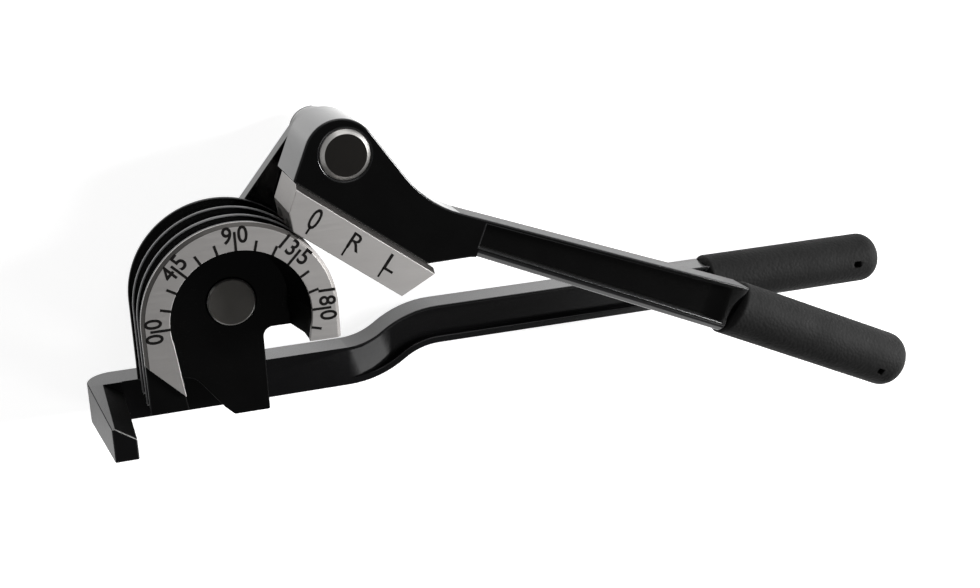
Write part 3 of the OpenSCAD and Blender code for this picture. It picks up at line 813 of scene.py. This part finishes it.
@dataclass
class FormingWheel:
    """Grooved wheel, its scale ring with marks, and the pin in its middle.

    Sizes are in millimetres and angles in degrees. A lean is a part of a face's unit normal.
    """

    black: bpy.types.Material
    dull: bpy.types.Material
    # Painted highlight for the ridges between the grooves.
    worn: bpy.types.Material
    satin: bpy.types.Material
    shaded: bpy.types.Material
    side: bpy.types.Material
    steel: bpy.types.Material
    ink: bpy.types.Material
    wheel_ease: float = 0.4
    rim_in_r: float = 23.9
    ridge_r: float = 24.5
    ridge_low: float = 21.0
    ridge_high: float = 35.5
    notch_lean: float = -0.5
    peg_angles: tuple[int, ...] = (20, 90, 160)
    ring_ease: float = 0.12
    bevel_lean: tuple[float, float] = (0.2, 0.98)
    lit_side: float = 0.45
    tick_in_r: float = 17.95
    tick_step: int = 15
    tick_last: int = 195
    tick_short: float = 2.7
    tick_long: float = 4.9
    digit_foot: float = 2.0
    digit_gap: float = 0.6

    def build(self) -> None:
        """Makes the wheel, the ring and the pin."""
        cuts = tuple((Vector(), polar(1.0, angle + 90).to_3d()) for angle in self.peg_angles)
        easing = Easing(self.wheel_ease, cuts=cuts)
        wheel = dressed("form_wheel", easing, Body.HANDLE, self.black)
        second_coat(wheel, self.dull, self.is_dull)
        # Painted highlight: the two ridges between the grooves get a pale grey coat.
        second_coat(wheel, self.worn, lambda face, edge: self.on_ridge(face))
        ring = dressed("scale_ring", Easing(self.ring_ease), Body.HANDLE, self.satin)
        # Painted shade: the bevel round the ring's rim gets a darker copy of the aluminium, and the part
        # facing the main light a mid-dark copy.
        second_coat(ring, self.shaded, lambda face, edge: self.on_bevel(face))
        second_coat(ring, self.side, lambda face, edge: self.on_lit_bevel(face))
        coat("wheel_pivot_pin", self.steel)
        self.scale()

    def outward(self, face: bpy.types.MeshPolygon) -> float:
        """Gives how far out a face lies, from the axis above it or from the middle line of the tails."""
        return Vector((face.center.x, max(face.center.y, 0.0))).length / MM

    def on_rim(self, face: bpy.types.MeshPolygon) -> bool:
        """Says whether a face lies on the round or the straight outer rim."""
        return self.outward(face) > self.rim_in_r

    def on_ridge(self, face: bpy.types.MeshPolygon) -> bool:
        """Says whether a face lies on one of the two ridges between the grooves."""
        return self.outward(face) > self.ridge_r and self.ridge_low < face.center.z / MM < self.ridge_high

    def in_notch(self, face: bpy.types.MeshPolygon) -> bool:
        """Says whether a face is the right wall of the notch in the web."""
        return face.center.x > 0 and face.center.y < 0 and face.normal.x < self.notch_lean

    def is_dull(self, face: bpy.types.MeshPolygon, edge: bool) -> bool:
        """Says whether a face is a rounded edge inside the rim or the wall of the notch."""
        return edge and not self.on_rim(face) or self.in_notch(face)

    def on_bevel(self, face: bpy.types.MeshPolygon) -> bool:
        """Says whether a face lies on the bevel along the outer rim of the ring."""
        low, high = self.bevel_lean
        return self.on_rim(face) and low < face.normal.z < high

    def on_lit_bevel(self, face: bpy.types.MeshPolygon) -> bool:
        """Says whether a face lies on the part of the bevel that faces right, to the main light."""
        return self.on_bevel(face) and face.normal.x >= self.lit_side

    def scale(self) -> None:
        """Draws the ticks and the degrees on the ring, from 0 on the left over the top."""
        marks = Marks(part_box("scale_ring")[1].z / MM)
        labels = {0: ("0", "0"), 45: ("4", "5"), 90: ("9", "0"), 135: ("13", "5"), 180: ("18", "0")}
        for degree in range(0, self.tick_last + 1, self.tick_step):
            angle = 180 - degree
            length = self.tick_long if degree in labels else self.tick_short
            marks.line(polar(self.tick_in_r, angle), polar(self.tick_in_r + length, angle))
            if degree in labels:
                right = polar(1.0, angle - 90)
                foot = polar(self.tick_in_r + self.digit_foot, angle)
                before, after = labels[degree]
                marks.digits(before, foot - right * self.digit_gap, right, Side.BEFORE)
                marks.digits(after, foot + right * self.digit_gap, right, Side.AFTER)
        marks.finish("scale_marks", Body.HANDLE, self.ink)


@dataclass
class LowerHandle:
    """Cranked handle bar with its hook and grip, and the small hardware behind the wheel.

    Sizes are in millimetres. A lean is a part of a face's unit normal, and squarely is nearly all of it.
    """

    black: bpy.types.Material
    dull: bpy.types.Material
    rough: bpy.types.Material
    # Lighter coat painted on the hook's upper face, standing for light.
    rubbed: bpy.types.Material
    vinyl: bpy.types.Material
    tip_highlight_steel: bpy.types.Material
    hardware: bpy.types.Material
    spring: bpy.types.Material
    bronze: bpy.types.Material
    hook_x: float = -28.0
    squarely: float = 0.9
    slope_lean: float = 0.3
    edge_lean: float = 0.2
    recess_x: float = 110.0
    bar_ease: float = 0.36
    grip_ease: float = 1.0
    grip_segments: int = 4

    def build(self) -> None:
        """Makes the bar and the grip and coats the hidden pieces."""
        easing = Easing(self.bar_ease, cuts=((Vector((self.recess_x, 0, 0)), Vector((1, 0, 0))),))
        bar = dressed("lower_handle", easing, Body.HANDLE, self.black)
        second_coat(bar, self.dull, self.on_dull_hook)
        second_coat(
            bar, self.rough, lambda face, edge: self.on_hook(face) and face.normal.x < -self.squarely
        )
        # Painted light: the hook's upper face is coloured lighter, as if lit from above.
        second_coat(
            bar, self.rubbed, lambda face, edge: self.on_hook(face) and face.normal.y > self.squarely
        )
        # Painted highlight along the upper edge of the hook's tip.
        second_coat(bar, self.tip_highlight_steel, self.on_tip_edge)
        easing = Easing(self.grip_ease, self.grip_segments)
        dressed("lower_grip", easing, Body.HANDLE, self.vinyl)
        coat("wheel_thrust_washer", self.bronze)
        coat("wheel_pin_washer", self.hardware)
        coat("wheel_pin_clip", self.spring)
        coat("wheel_rivets", self.hardware)

    def on_hook(self, face: bpy.types.MeshPolygon) -> bool:
        """Says whether a face belongs to the hook."""
        return face.center.x < self.hook_x * MM

    def on_dull_hook(self, face: bpy.types.MeshPolygon, edge: bool) -> bool:
        """Says whether a face is the slope inside the hook or lies on its upper outer edge.

        Args:
            face: Face of the bar.
            edge: Whether it is a rounded edge.

        Returns:
            True if it gets the dull coat.
        """
        slope = min(face.normal.x, face.normal.y) > self.slope_lean
        outer = edge and min(-face.normal.x, face.normal.y) > self.edge_lean
        return self.on_hook(face) and (slope or outer)

    def on_tip_edge(self, face: bpy.types.MeshPolygon, edge: bool) -> bool:
        """Says whether a face lies on the upper edge of the hook's tip, which gets a painted highlight in
        bright steel.
        """
        return edge and self.on_hook(face) and min(face.normal.y, face.normal.z) > self.slope_lean


@dataclass
class LinkArm:
    """Link between the two pins, with the headed lever pin that is fixed in it; sizes in millimetres."""

    black: bpy.types.Material
    steel: bpy.types.Material
    hardware: bpy.types.Material
    spring: bpy.types.Material
    bronze: bpy.types.Material
    link_ease: float = 0.25

    def build(self) -> None:
        """Makes the link and coats its pin, bush and washers."""
        pivot = axis_of("lever_pivot_pin")
        easing = Easing(self.link_ease, cuts=((Vector(), Vector((-pivot.y, pivot.x, 0))),))
        dressed("link_arm", easing, Body.LINK, self.black)
        coat("lever_pivot_pin", self.steel)
        coat("link_bush", self.bronze)
        coat("lever_spacer", self.hardware)
        coat("lever_pin_washer", self.hardware)
        coat("lever_pin_clip", self.spring)


@dataclass(frozen=True)
class Letter:
    """One mark on the shoe, with the tick below it; places and sizes in millimetres."""

    text: str
    along: float
    tick: float
    foot: float
    height: float
    stretch: float
    side: Side


@dataclass
class UpperLever:
    """Lever with its head and grip, and the grooved shoe with its marks.

    Sizes are in millimetres and angles in degrees. A lean is a part of a face's unit normal.
    """

    black: bpy.types.Material
    rough: bpy.types.Material
    satin: bpy.types.Material
    shaded: bpy.types.Material
    side: bpy.types.Material
    vinyl: bpy.types.Material
    hardware: bpy.types.Material
    bronze: bpy.types.Material
    ink: bpy.types.Material
    turn_deg: float = -37.5
    head_x: float = 60.0
    squarely: float = 0.8
    bevel_lean: tuple[float, float] = (0.5, 0.2)
    bevel_cut: float = 1.0
    level: float = 0.01
    ridge_slack: float = 0.05
    shoe_low: float = -23.2
    mark_stroke: float = 0.52
    mark_weight: float = 0.008
    tick_low: float = 1.2
    tick_overlap: float = 0.3
    letters: tuple[Letter, ...] = (
        Letter("0", 1.75, 1.75, 2.9, 5.6, 0.72, Side.MIDDLE),
        Letter("R", 11.95, 12.75, 3.7, 4.4, 1.05, Side.AFTER),
        Letter("L", 23.4, 24.2, 3.7, 4.5, 1.15, Side.AFTER),
    )
    lever_ease: float = 0.5
    shoe_ease: float = 0.18
    grip_ease: float = 1.0
    grip_segments: int = 4

    def build(self) -> None:
        """Makes the lever, the shoe and the grip."""
        lever = dressed("upper_lever", Easing(self.lever_ease), Body.LEVER, self.black)
        second_coat(lever, self.rough, lambda face, edge: self.on_top_side(face))
        shoe = dressed(
            "forming_shoe", Easing(self.shoe_ease), Body.LEVER, self.satin, self.steepen
        )
        # Painted shade: the bevel along the top of the shoe gets the darker copy, and its left end facet
        # the mid-dark one.
        second_coat(shoe, self.shaded, lambda face, edge: self.on_bevel(face))
        second_coat(shoe, self.side, lambda face, edge: face.normal.x < -self.squarely)
        easing = Easing(self.grip_ease, self.grip_segments)
        dressed("upper_grip", easing, Body.LEVER, self.vinyl)
        coat("shoe_pins", self.hardware)
        coat("lever_pivot_bush", self.bronze)
        self.shoe_marks()

    def up_shoe(self) -> Vector:
        """Gives the direction from the lower to the upper edge of the shoe."""
        return polar(1.0, self.turn_deg + 90).to_3d()

    def steepen(self, mesh: bmesh.types.BMesh) -> None:
        """Raises the front edge of the bevel along the top of the shoe, so that the bevel grows steeper.

        Args:
            mesh: Merged copy of the shoe, in millimetres.
        """
        up = self.up_shoe()
        face_z = max(vert.co.z for vert in mesh.verts)
        front = [vert for vert in mesh.verts if vert.co.z > face_z - self.level]
        top = max(vert.co.dot(up) for vert in front)
        for vert in front:
            if vert.co.dot(up) < top - self.ridge_slack:
                continue
            for edge in vert.link_edges:
                side = vert.co - edge.other_vert(vert).co
                if abs(side.z) < self.level and side.dot(up) > self.bevel_cut:
                    vert.co += side * (self.bevel_cut / side.dot(up))
                    break

    def on_top_side(self, face: bpy.types.MeshPolygon) -> bool:
        """Says whether a face is the upper side of the bar, between the head and the grip."""
        return face.center.x > self.head_x * MM and face.normal.y > self.squarely

    def on_bevel(self, face: bpy.types.MeshPolygon) -> bool:
        """Says whether a face lies on the bevel along the top of the shoe."""
        up, forward = self.bevel_lean
        return face.normal.dot(self.up_shoe()) > up and face.normal.z > forward

    def on_shoe(self, along: float, up: float) -> Vector:
        """Gives the flat point of the shoe at a distance along it and above its lower edge."""
        turned = Matrix.Rotation(math.radians(self.turn_deg), 2) @ Vector((along, self.shoe_low + up))
        return (axis_of("lever_pivot_pin") / MM).to_2d() + turned

    def shoe_marks(self) -> None:
        """Draws the 0, R and L marks, each with a tick down to the lower edge of the shoe."""
        face_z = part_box("forming_shoe")[1].z / MM
        marks = Marks(face_z, stroke=self.mark_stroke, digit_weight=self.mark_weight)
        right = polar(1.0, self.turn_deg)
        for letter in self.letters:
            foot = self.on_shoe(letter.along, letter.foot)
            marks.digits(letter.text, foot, right, letter.side, letter.height, letter.stretch)
            tick_top = letter.foot + self.tick_overlap
            marks.line(self.on_shoe(letter.tick, self.tick_low), self.on_shoe(letter.tick, tick_top))
        marks.finish("shoe_marks", Body.LEVER, self.ink)


@dataclass(frozen=True)
class Lamp:
    """One soft square lamp; places in metres, power in watts."""

    name: str
    place: tuple[float, float, float]
    size: float
    power: float

    def hang(self, aim: Vector) -> None:
        """Hangs the lamp and points it at the object.

        Args:
            aim: Point that it shines at.
        """
        light = bpy.data.lights.new(self.name, "AREA")
        light.energy = self.power
        light.size = self.size
        lamp = bpy.data.objects.new(self.name, light)
        lamp.location = self.place
        lamp.rotation_euler = (aim - Vector(self.place)).to_track_quat("-Z", "Y").to_euler()
        bpy.context.scene.collection.objects.link(lamp)


@dataclass
class Studio:
    """White floor, soft lamps from the right and from behind, dim surroundings, and the camera."""

    aim: Vector
    lamps: tuple[Lamp, ...]
    floor_size: float = 12.0
    floor_tone: str = "#d4d4d4"
    floor_glow: float = 0.84
    overhead_level: float = 0.04
    overhead_start: float = 0.75
    horizon_level: float = 0.5
    eye_mm: tuple[float, float, float] = (-54.153, 117.609, 401.748)
    eye_right: tuple[float, float, float] = (0.94367, -0.04015, 0.32845)
    eye_up: tuple[float, float, float] = (0.13567, 0.95228, -0.27341)
    image_width: float = 980.0
    focal_px: float = 1500.0
    sensor: float = 36.0
    nearest: float = 0.01

    def build(self) -> None:
        """Sets up the view, the floor, the lamps, the room and the camera."""
        bpy.context.scene.view_settings.view_transform = "Standard"
        self.floor()
        for lamp in self.lamps:
            lamp.hang(self.aim)
        self.room()
        self.camera()

    def floor(self) -> None:
        """Lays the floor, which looks white and still takes the shadow."""
        mesh = bmesh.new()
        bmesh.ops.create_grid(mesh, x_segments=1, y_segments=1, size=self.floor_size / 2)
        data = bpy.data.meshes.new("floor")
        mesh.to_mesh(data)
        mesh.free()
        material = bpy.data.materials.new("white_paper_floor")
        material.use_nodes = True
        tree = material.node_tree
        tree.nodes.clear()
        path = add_node(tree, "ShaderNodeLightPath")
        seen = path.outputs["Is Camera Ray"]
        for kind in ("Is Glossy Ray", "Is Transmission Ray"):
            seen = add_node(
                tree, "ShaderNodeMath", {0: seen, 1: path.outputs[kind]}, operation="MAXIMUM"
            ).outputs["Value"]
        glow = add_node(tree, "ShaderNodeMath", {0: seen, 1: self.floor_glow}, operation="MULTIPLY")
        paper = add_node(tree, "ShaderNodeBsdfDiffuse", {"Color": linear(self.floor_tone)})
        light = add_node(tree, "ShaderNodeEmission", {"Strength": glow.outputs["Value"]})
        both = add_node(
            tree, "ShaderNodeAddShader", {0: paper.outputs["BSDF"], 1: light.outputs["Emission"]}
        )
        add_node(tree, "ShaderNodeOutputMaterial", {"Surface": both.outputs["Shader"]})
        data.materials.append(material)
        floor = bpy.data.objects.new("floor", data)
        bpy.context.scene.collection.objects.link(floor)

    def room(self) -> None:
        """Makes the room pale near the horizon, dark overhead, and white for the eye."""
        world = bpy.data.worlds.new("room")
        world.use_nodes = True
        tree = world.node_tree
        tree.nodes.clear()
        way = add_node(tree, "ShaderNodeTexCoord").outputs["Generated"]
        height = add_node(tree, "ShaderNodeSeparateXYZ", {"Vector": way}).outputs["Z"]
        wall = add_node(
            tree, "ShaderNodeMapRange",
            {
                "Value": height,
                "From Max": self.overhead_start,
                "To Min": self.horizon_level,
                "To Max": self.overhead_level,
            },
            interpolation_type="SMOOTHSTEP",
        )
        seen = add_node(tree, "ShaderNodeLightPath").outputs["Is Camera Ray"]
        level = add_node(tree, "ShaderNodeMath", {0: wall.outputs["Result"], 1: seen}, operation="MAXIMUM")
        back = add_node(
            tree, "ShaderNodeBackground",
            {"Color": (1.0, 1.0, 1.0, 1.0), "Strength": level.outputs["Value"]},
        )
        add_node(tree, "ShaderNodeOutputWorld", {"Surface": back.outputs["Background"]})
        bpy.context.scene.world = world

    def camera(self) -> None:
        """Sets the camera at the view of the photograph."""
        data = bpy.data.cameras.new("photo_camera")
        data.sensor_fit = "HORIZONTAL"
        data.sensor_width = self.sensor
        data.lens = self.focal_px / self.image_width * self.sensor
        data.clip_start = self.nearest
        right = Vector(self.eye_right).normalized()
        back = right.cross(Vector(self.eye_up)).normalized()
        turned = Matrix((right, back.cross(right), back)).transposed().to_4x4()
        eye = bpy.data.objects.new("photo_camera", data)
        eye.matrix_world = Matrix.Translation(Vector(self.eye_mm) * MM) @ turned
        bpy.context.scene.collection.objects.link(eye)
        bpy.context.scene.camera = eye


def main() -> None:
    """Builds the studio and the four sub-assemblies in order."""
    logging.basicConfig(level=logging.INFO, format="%(name)s %(message)s")
    low, high = CAD_BOX
    lamps = (
        Lamp("key_softbox", (0.85, 0.12, 0.5), 0.35, 14.5),
        Lamp("front_card", (0.6, -0.46, 0.72), 0.28, 0.75),
        Lamp("far_softbox", (0.12, 0.75, 0.5), 0.6, 1.4),
    )
    Studio((low + high) / 2, lamps).build()
    black = BlackCoat("black_coated_steel").material()
    bar_black = BlackCoat(
        "black_coated_bar", "#070708", "#0e0e0f", smoothest=0.17, roughest=0.25
    ).material()
    dull_black = BlackCoat(
        "dull_black_steel", worn_share=0.0, smoothest=0.6, roughest=0.75, gloss=0.05
    ).material()
    rough_black = BlackCoat("rough_black_steel", smoothest=0.4, roughest=0.5).material()
    # Painted light: a lighter, glossier black for the hook's upper face, as if lit from above.
    lit_top_black = BlackCoat(
        "painted_light_top_steel", "#242425", "#333334", smoothest=0.2, roughest=0.3, gloss=1.0
    ).material()
    # Painted highlight: a pale grey coat for the ridges between the grooves, standing for light caught on
    # their tops.
    ridge_highlight_black = BlackCoat(
        "painted_highlight_ridge_steel", "#5a5a5b", "#737374", "#7c7c7d", smoothest=0.25, roughest=0.35, gloss=0.8
    ).material()
    vinyl = GripVinyl("charcoal_vinyl").material()
    ring_satin = SatinAluminium("satin_aluminium_ring").material()
    # Painted shade: darker and mid-dark copies of the satin aluminium, for bevels and side facets.
    shaded_satin = SatinAluminium("shaded_aluminium", "#5c5a58", "#504e4c").material()
    side_shade_satin = SatinAluminium("painted_side_shade_aluminium", "#9c9997", "#8d8a88").material()
    shoe_satin = SatinAluminium("satin_aluminium_shoe", turn_deg=UpperLever.turn_deg).material()
    wheel_steel = TurnedSteel("turned_steel_wheel_pin", axis_of("wheel_pivot_pin")).material()
    lever_steel = TurnedSteel(
        "turned_steel_lever_pin", axis_of("lever_pivot_pin"), face="#3e3c3a", highlight_r_mm=5.5
    ).material()
    # Painted highlight: bright steel along the upper edge of the hook's tip.
    tip_highlight_steel = PlainMetal("painted_highlight_tip_steel", "#a2a2a0", "#5c5c5b", mottle_mm=0.8, roughness=0.6).material()
    hardware = PlainMetal("zinc_plated_steel").material()
    spring = PlainMetal("blued_spring_steel", "#3a3a3d", "#2b2b2e").material()
    bronze = PlainMetal("sintered_bronze", "#9a7443", "#7d5c33", mottle_mm=0.8, roughness=0.42).material()
    ink = MarkInk("black_mark_filler").material()
    LowerHandle(
        bar_black, dull_black, rough_black, lit_top_black, vinyl, tip_highlight_steel, hardware, spring, bronze
    ).build()
    FormingWheel(
        black, dull_black, ridge_highlight_black, ring_satin, shaded_satin, side_shade_satin, wheel_steel, ink
    ).build()
    LinkArm(black, lever_steel, hardware, spring, bronze).build()
    UpperLever(
        black, rough_black, shoe_satin, shaded_satin, side_shade_satin, vinyl, hardware, bronze, ink
    ).build()


if __name__ == "__main__":
    main()
